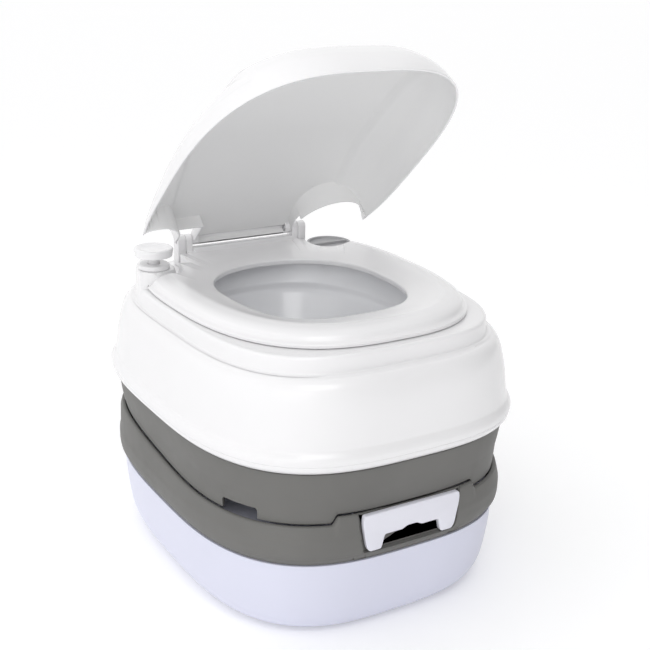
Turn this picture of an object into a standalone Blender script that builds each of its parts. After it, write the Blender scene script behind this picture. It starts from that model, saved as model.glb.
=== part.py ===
"""Portable camp toilet: a flush tank with bowl, seat and lid that lifts off a waste tank.

Run with: blender --background --python part.py. Metres, +Z up. The origin is the bottom centre,
-Y is the front (the side with the slide-valve handle) and +X is the right side seen from the front.
"""
import math

import bmesh
import bpy
from mathutils import Matrix, Vector

# ---- driving dimensions (metres) ----
HALF_WIDTH = 0.1825          # plan of the body at the lower edge of the white rim
HALF_DEPTH = 0.2188
PLAN_POWER = 3.04            # superellipse power of the plan: 2 is an ellipse, higher is squarer
REAR_POWER = 3.30            # the rear half is a little squarer
WALL = 0.003
GAP = 0.0004                 # between pieces that touch
PLAN_POINTS = 40             # points round one plan ring
ROUND_SIDES = 24

TANK_DECK = 0.121            # top of the waste tank
COLLAR_BOTTOM = 0.0875
SEAM_FRONT = 0.131           # height where the two halves meet, rising towards the rear
SEAM_REAR = 0.150
SEAM_STEP = 0.009            # the collar is higher by this behind the valve handle
STEP_HALF = 0.083
FLOOR = 0.156                # floor of the flush tank
RIM_BOTTOM = 0.1895          # lower edge of the white shell
SHOULDER = 0.279
DECK = 0.2965                # ledge round the seat

PUMP = (-0.1325, 0.109)      # pump knob, on a raised corner of the deck
PUMP_PLATFORM = 0.3125
PUMP_TRAVEL = 0.0125
FILLER = (0.109, 0.1328)     # filler cap, on a lower raised corner
FILLER_PLATFORM = 0.2990
NOZZLE = ((-0.0760, 0.0900, 0.2842), (-0.1060, 0.1130, 0.2842))   # flush nozzle, tip and tail
BOWL_CENTRE_Y = -0.004
OUTLET_Y = -0.020
OUTLET_RADIUS = 0.046

HINGE_Y = 0.156
HINGE_Z = 0.3265
LUG_X = (-0.080, 0.080)      # centres of the two hinge lugs
LUG_RADIUS = 0.0068
PIN_RADIUS = 0.003

SEAT_BOTTOM = 0.2985
SEAT_TOP = 0.3145
SEAT_REAR = 0.158
LID_RIM = 0.3050
LID_WALL = 0.0025
LID_HALF = (0.1560, 0.1960)   # half width and half depth of the lid's rim
LID_CENTRE_X = 0.0010
LID_OPEN_AT_REST = math.radians(42.5)
PUMP_NOTCH = 0.0275          # radius of the lid's notch round the pump knob
LID_FILLER_NOTCH = (0.104, 0.129)
FILLER_NOTCH = 0.042

VALVE_TRAVEL = 0.102
BLADE_Z = 0.1257
HANDLE_FACE_Y = -0.2168
HANDLE_DEPTH = 0.006

SPOUT = (0.108, 0.148)       # swivel axis of the pour spout
SPOUT_Z = 0.1385
SPOUT_LENGTH = 0.084

COLOURS = {
    "gloss_white": ((0.86, 0.86, 0.87), 0.22, 0.0),
    "tank_white": ((0.74, 0.76, 0.86), 0.32, 0.0),
    "warm_grey": ((0.17, 0.165, 0.155), 0.60, 0.0),
    "handle_white": ((0.78, 0.78, 0.84), 0.35, 0.0),
    "cap_grey": ((0.42, 0.42, 0.43), 0.50, 0.0),
    "black_rubber": ((0.03, 0.03, 0.03), 0.75, 0.0),
    "clear_tube": ((0.75, 0.73, 0.62), 0.30, 0.0),
    "steel": ((0.62, 0.62, 0.64), 0.30, 1.0),
}


# ---- scene helpers ----
def clear_scene():
    for item in list(bpy.data.objects):
        bpy.data.objects.remove(item, do_unlink=True)


def make_material(node, finish):
    colour, roughness, metallic = COLOURS[finish]
    material = bpy.data.materials.new(node)
    material.use_nodes = True
    shader = material.node_tree.nodes["Principled BSDF"]
    shader.inputs["Base Color"].default_value = (*colour, 1.0)
    shader.inputs["Roughness"].default_value = roughness
    shader.inputs["Metallic"].default_value = metallic
    return material


def make_object(name, bm, finish=None):
    """Turns a bmesh into an object, with normals out. Without a finish it is a cutter."""
    bmesh.ops.recalc_face_normals(bm, faces=bm.faces)
    mesh = bpy.data.meshes.new(name)
    bm.to_mesh(mesh)
    bm.free()
    mesh.shade_smooth()
    mesh.set_sharp_from_angle(angle=math.radians(35))
    item = bpy.data.objects.new(name, mesh)
    bpy.context.scene.collection.objects.link(item)
    if finish is None:
        item.hide_render = True
        item.display_type = "WIRE"
    else:
        mesh.materials.append(make_material(name, finish))
    return item


def boolean(item, operation, other):
    modifier = item.modifiers.new(f"{operation}_{other.name}"[:60], "BOOLEAN")
    modifier.operation = operation
    modifier.object = other
    modifier.solver = "EXACT"


def cut(item, *others):
    for other in others:
        boolean(item, "DIFFERENCE", other)


def join(item, *others):
    for other in others:
        boolean(item, "UNION", other)


def set_origin(item, point):
    """Moves the object's origin without moving its mesh in the world."""
    item.data.transform(Matrix.Translation(-Vector(point)))
    item.location = point


# ---- outlines and solids ----
def smooth_step(value):
    value = min(1.0, max(0.0, value))
    return value * value * (3.0 - 2.0 * value)


def plan_angles():
    """Even angles, with two more at each side of the collar's front step."""
    angles = [2 * math.pi * i / PLAN_POINTS for i in range(PLAN_POINTS)]
    for edge in (STEP_HALF - 0.001, STEP_HALF + 0.001):
        turn = math.acos((edge / HALF_WIDTH) ** (PLAN_POWER / 2))
        angles += [2 * math.pi - turn, math.pi + turn]
    return sorted(angles)


def superellipse(half_x, half_y, power, z=0.0, centre_y=0.0, taper=0.0, centre_x=0.0, rear_power=None):
    ring = []
    for angle in plan_angles():
        c, s = math.cos(angle), math.sin(angle)
        here = rear_power if rear_power and s > 0 else power
        across = math.copysign(abs(c) ** (2 / here), c)
        along = math.copysign(abs(s) ** (2 / here), s)
        x = centre_x + half_x * (1 + taper * along) * across
        y = centre_y + half_y * along
        ring.append(Vector((x, y, z(x, y) if callable(z) else z)))
    return ring


def body_ring(offset, z):
    """The body's plan, moved outwards by offset, at a height or at a height function."""
    return superellipse(HALF_WIDTH + offset, HALF_DEPTH + offset, PLAN_POWER, z, rear_power=REAR_POWER)


def circle_ring(radius, z, centre=(0.0, 0.0)):
    return superellipse(radius, radius, 2.0, z, centre[1], 0.0, centre[0])


def loft(name, rings, finish=None, closed=False):
    """Skins rings in order. Open runs get a flat cap at each end; a closed run is a tube."""
    bm = bmesh.new()
    rows = [[bm.verts.new(point) for point in ring] for ring in rings]
    pairs = list(zip(rows, rows[1:]))
    if closed:
        pairs.append((rows[-1], rows[0]))
    count = len(rows[0])
    for low, high in pairs:
        for i in range(count):
            j = (i + 1) % count
            bm.faces.new((low[i], low[j], high[j], high[i]))
    if not closed:
        bm.faces.new(list(reversed(rows[0])))
        bm.faces.new(rows[-1])
    return make_object(name, bm, finish)


def lathe(name, profile, centre, finish=None, sides=ROUND_SIDES, closed=True):
    """Turns a profile of (radius, z) about a vertical axis. Closed profiles make rings."""
    rings = []
    for radius, z in profile:
        ring = []
        for i in range(sides):
            angle = 2 * math.pi * i / sides
            x = centre[0] + radius * math.cos(angle)
            y = centre[1] + radius * math.sin(angle)
            ring.append(Vector((x, y, z)))
        rings.append(ring)
    return loft(name, rings, finish, closed)


def block(name, low, high, finish=None, bevel=0.0):
    bm = bmesh.new()
    bmesh.ops.create_cube(bm, size=1.0)
    for vert in bm.verts:
        for axis in range(3):
            middle = (low[axis] + high[axis]) / 2
            vert.co[axis] = middle + vert.co[axis] * (high[axis] - low[axis])
    if bevel:
        bmesh.ops.bevel(bm, geom=list(bm.edges), offset=bevel, segments=2, affect="EDGES", profile=0.5)
    return make_object(name, bm, finish)


def prism(name, outline, axis, start, end, finish=None):
    """Extrudes a flat outline along X, Y or Z. The outline holds the other two coordinates."""
    order = {"X": (2, 0, 1), "Y": (0, 2, 1), "Z": (0, 1, 2)}[axis]
    rings = []
    for level in (start, end):
        ring = []
        for point in outline:
            values = (point[0], point[1], level)
            ring.append(Vector(tuple(values[i] for i in order)))
        rings.append(ring)
    return loft(name, rings, finish)


def arc(centre, radius, start_deg, end_deg, steps):
    points = []
    for i in range(steps + 1):
        angle = math.radians(start_deg + (end_deg - start_deg) * i / steps)
        points.append((centre[0] + radius * math.cos(angle), centre[1] + radius * math.sin(angle)))
    return points


def rod(name, start, end, radius, finish=None, sides=20):
    """A plain round bar between two points."""
    start, end = Vector(start), Vector(end)
    along = (end - start).normalized()
    side = along.orthogonal().normalized()
    up = along.cross(side)
    rings = []
    for point in (start, end):
        ring = []
        for i in range(sides):
            angle = 2 * math.pi * i / sides
            ring.append(point + radius * (math.cos(angle) * side + math.sin(angle) * up))
        rings.append(ring)
    return loft(name, rings, finish)


def seam_height(x, y):
    """Where the halves meet: a slow rise to the rear and one step up behind the handle."""
    rise = smooth_step((y + 0.12) / 0.27)
    height = SEAM_FRONT + (SEAM_REAR - SEAM_FRONT) * rise
    if y < 0:
        height += SEAM_STEP * smooth_step((STEP_HALF + 0.001 - abs(x)) / 0.002)
    return height


# ---- the waste tank half ----
def finger_pocket(grow):
    """The space behind the handle that fingers reach into."""
    low = (-0.044 - grow, -0.2250, 0.0960 - grow)
    high = (0.044 + grow, -0.1800 + grow, 0.1165 + grow)
    return block(f"pocket_{grow}", low, high)


def make_waste_tank():
    outside = [(-0.0360, 0.0), (-0.0290, 0.003), (-0.0195, 0.0115), (-0.0115, 0.034), (-0.0065, 0.0865),
               (-0.0135, 0.0870), (-0.0135, 0.1165), (-0.0180, TANK_DECK)]
    inside = [(-0.0200, TANK_DECK - WALL), (-0.0165, 0.1120), (-0.0165, 0.0845), (-0.0100, 0.0820),
              (-0.0150, 0.0340), (-0.0240, 0.0110), (-0.0360, WALL)]
    mouth = (0.0, OUTLET_Y)
    rings = [body_ring(*step) for step in outside]
    rings += [circle_ring(0.050, TANK_DECK, mouth), circle_ring(0.050, TANK_DECK - WALL, mouth)]
    rings += [body_ring(*step) for step in inside]
    tank = loft("waste_tank", rings, "tank_white")
    thicker = block("pocket_wall", (-0.047, -0.2040, 0.0930), (0.047, -0.1770, 0.1195))
    join(tank, thicker)
    spout_hole = rod("spout_hole", (*SPOUT, 0.110), (*SPOUT, 0.130), 0.0105)
    vent_hole = rod("vent_hole", (0.030, 0.120, 0.110), (0.030, 0.120, 0.130), 0.0062)
    cut(tank, finger_pocket(0.0), spout_hole, vent_hole)


def make_collar():
    """The grey ring round the top of the waste tank, with the recess that the handle sits in."""
    outside = [(-0.0062, COLLAR_BOTTOM), (-0.0040, 0.0900), (-0.0008, 0.0985), (0.0006, 0.1080),
               (-0.0012, 0.1200)]
    rings = [body_ring(*step) for step in outside]
    rings += [body_ring(-0.0030, lambda x, y: seam_height(x, y) - GAP)]
    rings += [body_ring(-0.0065, lambda x, y: seam_height(x, y) - GAP)]
    rings += [body_ring(-0.0098, 0.1200), body_ring(-0.0098, COLLAR_BOTTOM)]
    collar = loft("tank_collar", rings, "warm_grey", closed=True)
    back_wall = block("recess_wall", (-0.0635, -0.2098, 0.0890), (0.0635, -0.2066, 0.1392))
    join(collar, back_wall)
    recess = block("recess", (-0.0600, -0.2400, 0.0965), (0.0600, -0.2100, 0.1450))
    fingers = block("recess_fingers", (-0.0400, -0.2150, 0.0990), (0.0400, -0.2000, 0.1150))
    blade_slot = block("blade_slot", (-0.0545, -0.2150, BLADE_Z - 0.0022), (0.0545, -0.2000, BLADE_Z + 0.0022))
    cut(collar, recess, fingers, blade_slot, spout_window("collar_window", 0.1222, 0.160))


def spout_window(name, low, high):
    return block(name, (0.026, 0.150, low), (0.128, 0.250, high))


def make_valve():
    """Slide valve on the tank's mouth: a frame, its blade, the pull handle and the lip seal."""
    mouth = (0.0, OUTLET_Y)
    frame = block("valve_frame", (-0.0640, -0.0850, TANK_DECK + GAP), (0.0640, 0.0450, 0.1300), "warm_grey")
    slot = block("valve_slot", (-0.0530, -0.1000, BLADE_Z - 0.0016), (0.0530, 0.0355, BLADE_Z + 0.0016))
    bore = rod("valve_bore", (*mouth, 0.110), (*mouth, 0.140), OUTLET_RADIUS, sides=ROUND_SIDES)
    cut(frame, slot, bore)
    for i, (x, y) in enumerate(((-0.0585, -0.0780), (0.0585, -0.0780), (-0.0585, 0.0380), (0.0585, 0.0380))):
        cut(frame, rod(f"screw_hole_{i}", (x, y, 0.120), (x, y, 0.135), 0.0022, sides=16))
        lathe(f"valve_screw_{i + 1}", [(0.0018, 0.1216), (0.0018, 0.1304), (0.0036, 0.1304),
                                       (0.0030, 0.1322)], (x, y), "steel", sides=16, closed=False)
    front = HANDLE_FACE_Y + HANDLE_DEPTH + GAP
    block("valve_blade", (-0.0520, front, BLADE_Z - 0.0012), (0.0520, 0.0345, BLADE_Z + 0.0012), "tank_white")
    ring = [(0.0480, 0.1304), (0.0540, 0.1304), (0.0530, 0.1335), (0.0490, 0.1345)]
    lathe("valve_lip_seal", ring, mouth, "black_rubber")
    make_handle()


def make_handle():
    """A U-shaped pull: a broad bar with two legs, and a small bump over the finger opening."""
    top, bottom, bar = 0.1385, 0.0982, 0.1130
    right = [(0.0360, bottom), (0.0500, bottom), (0.0525, 0.1010), (0.0572, 0.1250), (0.0578, 0.1340),
             (0.0572, top)]
    bump = [(-0.0110, bar), (-0.0060, 0.1158), (0.0060, 0.1158), (0.0110, bar)]
    outline = right + [(-x, z) for x, z in reversed(right)]
    outline += [(-0.0315, bar)] + bump + [(0.0315, bar)]
    prism("valve_handle", outline, "Y", HANDLE_FACE_Y + HANDLE_DEPTH, HANDLE_FACE_Y, "handle_white")


def make_spout():
    """Pour spout: a base on the tank's deck, an elbow that swings out of the rear, and its cap."""
    lathe("spout_base", [(0.0100, TANK_DECK + GAP), (0.0170, TANK_DECK + GAP), (0.0170, 0.1245),
                         (0.0100, 0.1245)], SPOUT, "warm_grey", sides=20)
    spout = lathe("pour_spout", [(0.0001, 0.1249), (0.0145, 0.1249), (0.0145, 0.1500), (0.0120, 0.1520),
                                 (0.0001, 0.1520)], SPOUT, "tank_white", sides=20, closed=False)
    pivot = Vector((*SPOUT, SPOUT_Z))
    tip = pivot - Vector((SPOUT_LENGTH - 0.003, 0, 0))
    join(spout, rod("spout_arm", pivot, tip, 0.0110, sides=20))
    cut(spout, rod("spout_bore", pivot, tip - Vector((0.01, 0, 0)), 0.0085, sides=20),
        rod("spout_down", (*SPOUT, 0.120), pivot, 0.0085, sides=20))
    set_origin(spout, pivot)
    cup_end = pivot - Vector((SPOUT_LENGTH, 0, 0))
    cup_mouth = cup_end + Vector((0.018, 0, 0))
    cap = rod("spout_cap", cup_end, cup_mouth, 0.0145, "warm_grey", sides=20)
    cut(cap, rod("spout_cap_bore", cup_end + Vector((0.0027, 0, 0)), cup_mouth + Vector((0.01, 0, 0)),
                 0.0114, sides=20))
    set_origin(cap, cup_end)
    for i in range(8):
        angle = math.pi * (2 * i + 1) / 8
        edge = Vector((0, 0.0150 * math.cos(angle), 0.0150 * math.sin(angle)))
        cut(cap, rod(f"spout_cap_grip_{i}", cup_end + edge - Vector((0.01, 0, 0)),
                     cup_mouth + edge + Vector((0.01, 0, 0)), 0.0016, sides=8))


def make_vent():
    """Air vent pressed while pouring: a button on a spring in a small housing on the deck."""
    centre = (0.030, 0.120)
    lathe("vent_housing", [(0.0048, TANK_DECK + GAP), (0.0105, TANK_DECK + GAP), (0.0105, 0.1290),
                           (0.0072, 0.1300), (0.0072, 0.1232), (0.0048, 0.1232)], centre, "warm_grey", sides=20)
    lathe("vent_button", [(0.0001, 0.1180), (0.0040, 0.1180), (0.0040, 0.1285), (0.0066, 0.1285),
                          (0.0066, 0.1335), (0.0055, 0.1350), (0.0001, 0.1350)], centre, "cap_grey",
          sides=20, closed=False)
    coil("vent_spring", centre, 0.0056, 0.0005, 0.1241, 0.1278, 3, "steel")


def coil(name, centre, radius, wire, low, high, turns, finish, per_turn=8, sides=4):
    """A round wire wound along a helix, flat-ended."""
    steps = turns * per_turn
    rings = []
    for i in range(steps + 1):
        angle = 2 * math.pi * i / per_turn
        z = low + (high - low) * i / steps
        out = Vector((math.cos(angle), math.sin(angle), 0))
        middle = Vector((centre[0], centre[1], z)) + radius * out
        ring = []
        for k in range(sides):
            turn = 2 * math.pi * k / sides
            ring.append(middle + wire * (math.cos(turn) * out + math.sin(turn) * Vector((0, 0, 1))))
        rings.append(ring)
    return loft(name, rings, finish)


# ---- the flush tank half ----
def make_skirt():
    """The grey skirt under the white shell, with a finger notch at each front corner."""
    rings = [body_ring(-0.0085, lambda x, y: seam_height(x, y) + GAP), body_ring(-0.0055, 0.1650),
             body_ring(-0.0028, 0.1875), body_ring(-0.0062, 0.1885), body_ring(-0.0062, 0.2000),
             body_ring(-0.0088, 0.2000), body_ring(-0.0088, 0.1650),
             body_ring(-0.0115, lambda x, y: seam_height(x, y) + GAP)]
    skirt = loft("tank_skirt", rings, "warm_grey", closed=True)
    for side in (-1, 1):
        notch = block(f"finger_notch_{side}", (-0.021, -0.030, 0.100), (0.021, 0.030, 0.1435))
        notch.location = (side * 0.1480, -0.1370, 0.0)
        notch.rotation_euler = (0.0, 0.0, side * math.radians(56))
        cut(skirt, notch)
    cut(skirt, spout_window("skirt_window", 0.120, 0.1552))


def make_flush_tank_floor():
    """Pan that closes the flush tank from below, with a hole for the bowl's outlet."""
    mouth = (0.0, OUTLET_Y)
    rings = [circle_ring(0.0600, FLOOR, mouth), body_ring(-0.0180, FLOOR), body_ring(-0.0128, FLOOR + 0.005),
             body_ring(-0.0128, 0.2005), body_ring(-0.0020, 0.2010), body_ring(-0.0020, 0.2035),
             body_ring(-0.0153, 0.2035), body_ring(-0.0153, FLOOR + 0.0075),
             body_ring(-0.0195, FLOOR + WALL), circle_ring(0.0600, FLOOR + WALL, mouth)]
    loft("flush_tank_floor", rings, "warm_grey", closed=True)


def deck_ring(offset, z):
    """Plan of the raised deck, squarer than the body's."""
    return superellipse(0.1600 + offset, 0.1885 + offset, 3.4, z, -0.0015, 0.024)


def make_shell():
    outside = [(-0.0010, RIM_BOTTOM), (0.0042, 0.1925), (0.0046, 0.2005), (0.0002, 0.2080),
               (-0.0040, 0.2450), (-0.0088, 0.2660), (-0.0130, 0.2742), (-0.0190, 0.2782)]
    deck = [(0.0, SHOULDER), (-0.0012, 0.2930), (-0.0032, DECK)]
    hole = superellipse(0.1270, 0.1490, 2.3, DECK, BOWL_CENTRE_Y)
    hole_under = superellipse(0.1270, 0.1490, 2.3, DECK - WALL, BOWL_CENTRE_Y)
    under = [deck_ring(-0.0060, DECK - WALL), deck_ring(-0.0030, SHOULDER - WALL)]
    inside = [(-0.0175, 0.2722), (-0.0120, 0.2640), (-0.0070, 0.2440), (-0.0026, 0.2080), (0.0002, 0.2000),
              (-0.0004, RIM_BOTTOM + 0.0030), (-0.0030, RIM_BOTTOM)]
    rings = [body_ring(*step) for step in outside] + [deck_ring(*step) for step in deck]
    rings += [hole, hole_under] + under + [body_ring(*step) for step in inside]
    shell = loft("flush_tank_shell", rings, "gloss_white", closed=True)
    join(shell, corner_platform("pump_platform", PUMP, 0.0245, PUMP_PLATFORM),
         corner_platform("filler_platform", FILLER, 0.0285, FILLER_PLATFORM))
    cut(shell, rod("pump_hole", (*PUMP, 0.280), (*PUMP, 0.320), 0.0140, sides=20),
        rod("filler_hole", (*FILLER, 0.280), (*FILLER, 0.320), 0.0235, sides=ROUND_SIDES))


def corner_platform(name, centre, radius, top):
    """A round post joined to the deck's rear corner, kept clear of the bowl's hole."""
    post = rod(name, (*centre, DECK - WALL - 0.0005), (*centre, top), radius, sides=28)
    side = math.copysign(1.0, centre[0])
    inner = (centre[0] - side * radius * 0.35, centre[1])
    outer_x = centre[0] + side * 0.080
    corner = block(f"{name}_corner", (min(inner[0], outer_x), centre[1], DECK - WALL - 0.0005),
                   (max(inner[0], outer_x), 0.230, top))
    limit = loft(f"{name}_limit", [deck_ring(-0.0050, 0.2880), deck_ring(-0.0050, 0.3200)])
    boolean(corner, "INTERSECT", limit)
    join(post, corner)
    cut(post, loft(f"{name}_bowl", [superellipse(0.1275, 0.1495, 2.3, z, BOWL_CENTRE_Y) for z in (0.28, 0.33)]))
    return post


def make_bowl():
    """One-piece bowl: lip in the deck's hole, a step inside, and a funnel to the outlet."""
    mouth = (0.0, OUTLET_Y)

    def oval(half_x, half_y, z, power=2.3, y=BOWL_CENTRE_Y):
        return superellipse(half_x, half_y, power, z, y)

    inside = [oval(0.1180, 0.1400, 0.2955), oval(0.1110, 0.1330, 0.2700), oval(0.1010, 0.1225, 0.2610, 2.3, -0.006),
              oval(0.0880, 0.1080, 0.2200, 2.2, -0.011), oval(0.0690, 0.0800, 0.1850, 2.1, -0.017),
              circle_ring(0.0440, 0.1650, mouth), circle_ring(0.0425, 0.1350, mouth)]
    outside = [circle_ring(0.0455, 0.1350, mouth), circle_ring(0.0475, 0.1640, mouth), oval(0.0722, 0.0832, 0.1825, 2.1, -0.017),
               oval(0.0914, 0.1114, 0.2190, 2.2, -0.011), oval(0.1042, 0.1257, 0.2585, 2.3, -0.006),
               oval(0.1145, 0.1365, 0.2685), oval(0.1205, 0.1425, 0.2920), oval(0.1262, 0.1482, 0.2925),
               oval(0.1262, 0.1482, 0.2955)]
    bowl = loft("bowl", inside + outside, "gloss_white", closed=True)
    tip, tail = (Vector(point) for point in NOZZLE)
    along = (tail - tip) * 0.5
    cut(bowl, rod("nozzle_hole", tip - along, tail + along, 0.0075, sides=16))
    lathe("bowl_seal", [(0.0485, FLOOR + 0.0034), (0.0640, FLOOR + 0.0034), (0.0640, FLOOR + 0.0048),
                        (0.0485, FLOOR + 0.0060)], mouth, "black_rubber")


def make_pump():
    """Piston pump: the knob is pushed down over its collar, and a spring lifts it again."""
    lathe("pump_collar", [(0.0070, 0.3129), (0.0175, 0.3129), (0.0175, 0.3165), (0.0160, 0.3180),
                          (0.0070, 0.3180)], PUMP, "gloss_white", sides=20)
    lathe("pump_cylinder", [(0.0110, 0.1900), (0.0135, 0.1900), (0.0135, 0.3123), (0.0110, 0.3123)], PUMP,
          "tank_white", sides=20)
    lathe("pump_knob", [(0.0001, 0.3314), (0.0188, 0.3314), (0.0192, 0.3268), (0.0206, 0.3268),
                        (0.0215, 0.3340), (0.0208, 0.3358), (0.0186, 0.3360), (0.0130, 0.3344),
                        (0.0001, 0.3338)], PUMP, "gloss_white", closed=False)
    lathe("pump_rod", [(0.0001, 0.2580), (0.0040, 0.2580), (0.0040, 0.2960), (0.0065, 0.2990),
                       (0.0065, 0.3310), (0.0001, 0.3310)], PUMP, "gloss_white", sides=16, closed=False)
    lathe("pump_piston", [(0.0001, 0.2480), (0.0104, 0.2480), (0.0104, 0.2576), (0.0001, 0.2576)], PUMP,
          "black_rubber", sides=20, closed=False)
    lathe("pump_foot_valve", [(0.0030, 0.1790), (0.0125, 0.1790), (0.0125, 0.1896), (0.0030, 0.1896)], PUMP,
          "cap_grey", sides=20)
    coil("pump_spring", PUMP, 0.0080, 0.0009, 0.2060, 0.2464, 6, "steel")


def make_flush_line():
    """Tube from the pump to the nozzle that rinses the bowl."""
    tip, tail = (Vector(point) for point in NOZZLE)
    nozzle = rod("flush_nozzle", tip, tail, 0.0070, "clear_tube", sides=16)
    cut(nozzle, rod("nozzle_bore", tip * 1.2 - tail * 0.2, tip * 0.1 + tail * 0.9, 0.0035))
    low = Vector((PUMP[0] + 0.0190, PUMP[1] + 0.0110, 0.1845))
    along = (tail - tip).normalized()
    points = [low, low + Vector((0.0010, 0.0010, 0.0450)), tail + along * 0.0115 - Vector((0, 0, 0.0180)),
              tail + along * 0.0095 - Vector((0, 0, 0.0030)), tail + along * 0.0035]
    curve = bpy.data.curves.new("flush_tube", "CURVE")
    curve.dimensions = "3D"
    curve.bevel_depth = 0.0037
    curve.bevel_resolution = 2
    curve.use_fill_caps = True
    spline = curve.splines.new("POLY")
    route = catmull(points, 5)
    spline.points.add(len(route) - 1)
    for target, point in zip(spline.points, route):
        target.co = (*point, 1.0)
    tube = bpy.data.objects.new("flush_tube", curve)
    tube.data.materials.append(make_material("flush_tube", "clear_tube"))
    bpy.context.scene.collection.objects.link(tube)


def catmull(points, steps):
    """Points along a smooth curve through the given ones."""
    padded = [points[0] * 2 - points[1]] + points + [points[-1] * 2 - points[-2]]
    route = []
    for a, b, c, d in zip(padded, padded[1:], padded[2:], padded[3:]):
        for i in range(steps):
            t = i / steps
            route.append(0.5 * (2 * b + (c - a) * t + (2 * a - 5 * b + 4 * c - d) * t ** 2
                                + (3 * b - a - 3 * c + d) * t ** 3))
    return route + [points[-1]]


def make_filler():
    """Water filler: a neck through the platform, a seal and a turn-off cap with a grip bar."""
    lathe("filler_neck", [(0.0190, 0.2600), (0.0225, 0.2600), (0.0225, 0.2994), (0.0250, 0.2994),
                          (0.0250, 0.3008), (0.0190, 0.3008)], FILLER, "gloss_white", sides=20)
    lathe("filler_seal", [(0.0200, 0.3011), (0.0240, 0.3011), (0.0240, 0.3022), (0.0200, 0.3022)], FILLER,
          "black_rubber", sides=20)
    cap = lathe("filler_cap", [(0.0001, 0.2900), (0.0160, 0.2900), (0.0178, 0.3025), (0.0264, 0.3025),
                               (0.0275, 0.3038), (0.0275, 0.3076), (0.0262, 0.3090), (0.0245, 0.3090),
                               (0.0232, 0.3060), (0.0001, 0.3060)], FILLER, "cap_grey", closed=False)
    grip = block("filler_grip", (FILLER[0] - 0.0238, FILLER[1] - 0.0024, 0.3045),
                 (FILLER[0] + 0.0238, FILLER[1] + 0.0024, 0.3088))
    join(cap, grip)
    set_origin(cap, (*FILLER, 0.3025))


# ---- seat, lid and their hinge ----
def rear_notch(name, centre, radius, side_x, shelf=0.0, low=0.28, high=0.42):
    """Upright cutter: a round notch that stays open to the rear and to the outer side.

    Towards the hinge it ends at side_x, along a straight edge that lies behind the centre by shelf.
    """
    side = math.copysign(1.0, centre[0])
    outline = [(side_x, 0.30)]
    if shelf:
        start = 180.0 if side > 0 else 0.0
        outline += [(side_x, centre[1] + shelf), (centre[0] - side * radius, centre[1] + shelf)]
    else:
        start = math.degrees(math.acos((side_x - centre[0]) / radius))
    outline += arc(centre, radius, start, 360.0 if side > 0 else -180.0, 16)
    outline += [(centre[0] + side * 0.10, centre[1]), (centre[0] + side * 0.10, 0.30)]
    return prism(name, outline, "Z", low, high)


def seat_opening(offset, z):
    """Outline of the seat's opening, longer to the front than to the rear."""
    front = superellipse(0.0925 + offset, 0.116 + offset, 2.5, z, 0.008, 0.03)
    rear = superellipse(0.0925 + offset, 0.092 + offset, 2.15, z, 0.008, 0.03)
    return [f if f.y < 0.008 else r for f, r in zip(front, rear)]


def seat_plan(offset, z):
    return superellipse(0.1553 + offset, 0.1861 + offset, 2.7, z, 0.0078, 0.032)


def make_seat():
    rings = [seat_plan(0.0, SEAT_BOTTOM), seat_plan(-0.0010, 0.3015), seat_plan(-0.0060, 0.3040),
             seat_plan(-0.0085, 0.3085), seat_plan(-0.0140, 0.3130), seat_plan(-0.0205, SEAT_TOP),
             seat_plan(-0.0275, SEAT_TOP),
             seat_opening(0.0040, 0.3055), seat_opening(0.0, 0.3035), seat_opening(0.0, SEAT_BOTTOM)]
    seat = loft("seat_ring", rings, "gloss_white", closed=True)
    rear = block("seat_rear", (-0.30, SEAT_REAR, 0.28), (0.30, 0.30, 0.34))
    cut(seat, rear, rear_notch("seat_pump_notch", PUMP, 0.0325, -0.0850, 0.0070),
        rear_notch("seat_filler_notch", FILLER, 0.0300, 0.0850))
    join(seat, block("seat_hinge_bar", (-0.0660, SEAT_REAR - 0.0115, 0.3100),
                     (0.0660, SEAT_REAR + 0.0005, HINGE_Z - 0.0088), bevel=0.0006))
    for side, lug_x in zip((1, -1), LUG_X):
        near, far = lug_x + side * 0.0055, lug_x + side * 0.0135
        join(seat, hinge_arm(f"seat_arm_{side}", min(near, far), max(near, far), LUG_RADIUS - 0.0004, 0.3080))
        cut(seat, block(f"seat_lug_space_{side}", (lug_x - 0.0055, HINGE_Y - 0.0120, 0.280),
                        (lug_x + 0.0055, 0.220, 0.345)))
    cut(seat, pin_bore("seat_pin_bore"))
    set_origin(seat, (0.0, HINGE_Y, HINGE_Z))
    for i, (x, y) in enumerate(((-0.126, -0.075), (0.126, -0.075), (-0.134, 0.055), (0.134, 0.055))):
        lathe(f"seat_buffer_{i + 1}", [(0.0001, DECK + 0.0003), (0.0055, DECK + 0.0003),
                                       (0.0050, SEAT_BOTTOM - 0.0003), (0.0001, SEAT_BOTTOM - 0.0003)],
              (x, y), "black_rubber", sides=14, closed=False)


def hinge_arm(name, low_x, high_x, radius, foot_z, finish=None):
    """An upright arm in the Y-Z plane with a round end on the hinge axis."""
    outline = [(HINGE_Y + radius, foot_z)]
    outline += arc((HINGE_Y, HINGE_Z), radius, 0, 180, 12)
    outline += [(HINGE_Y - radius, foot_z)]
    return prism(name, outline, "X", low_x, high_x, finish)


def pin_bore(name):
    return rod(name, (-0.20, HINGE_Y, HINGE_Z), (0.20, HINGE_Y, HINGE_Z), PIN_RADIUS + 0.0004, sides=16)


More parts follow.
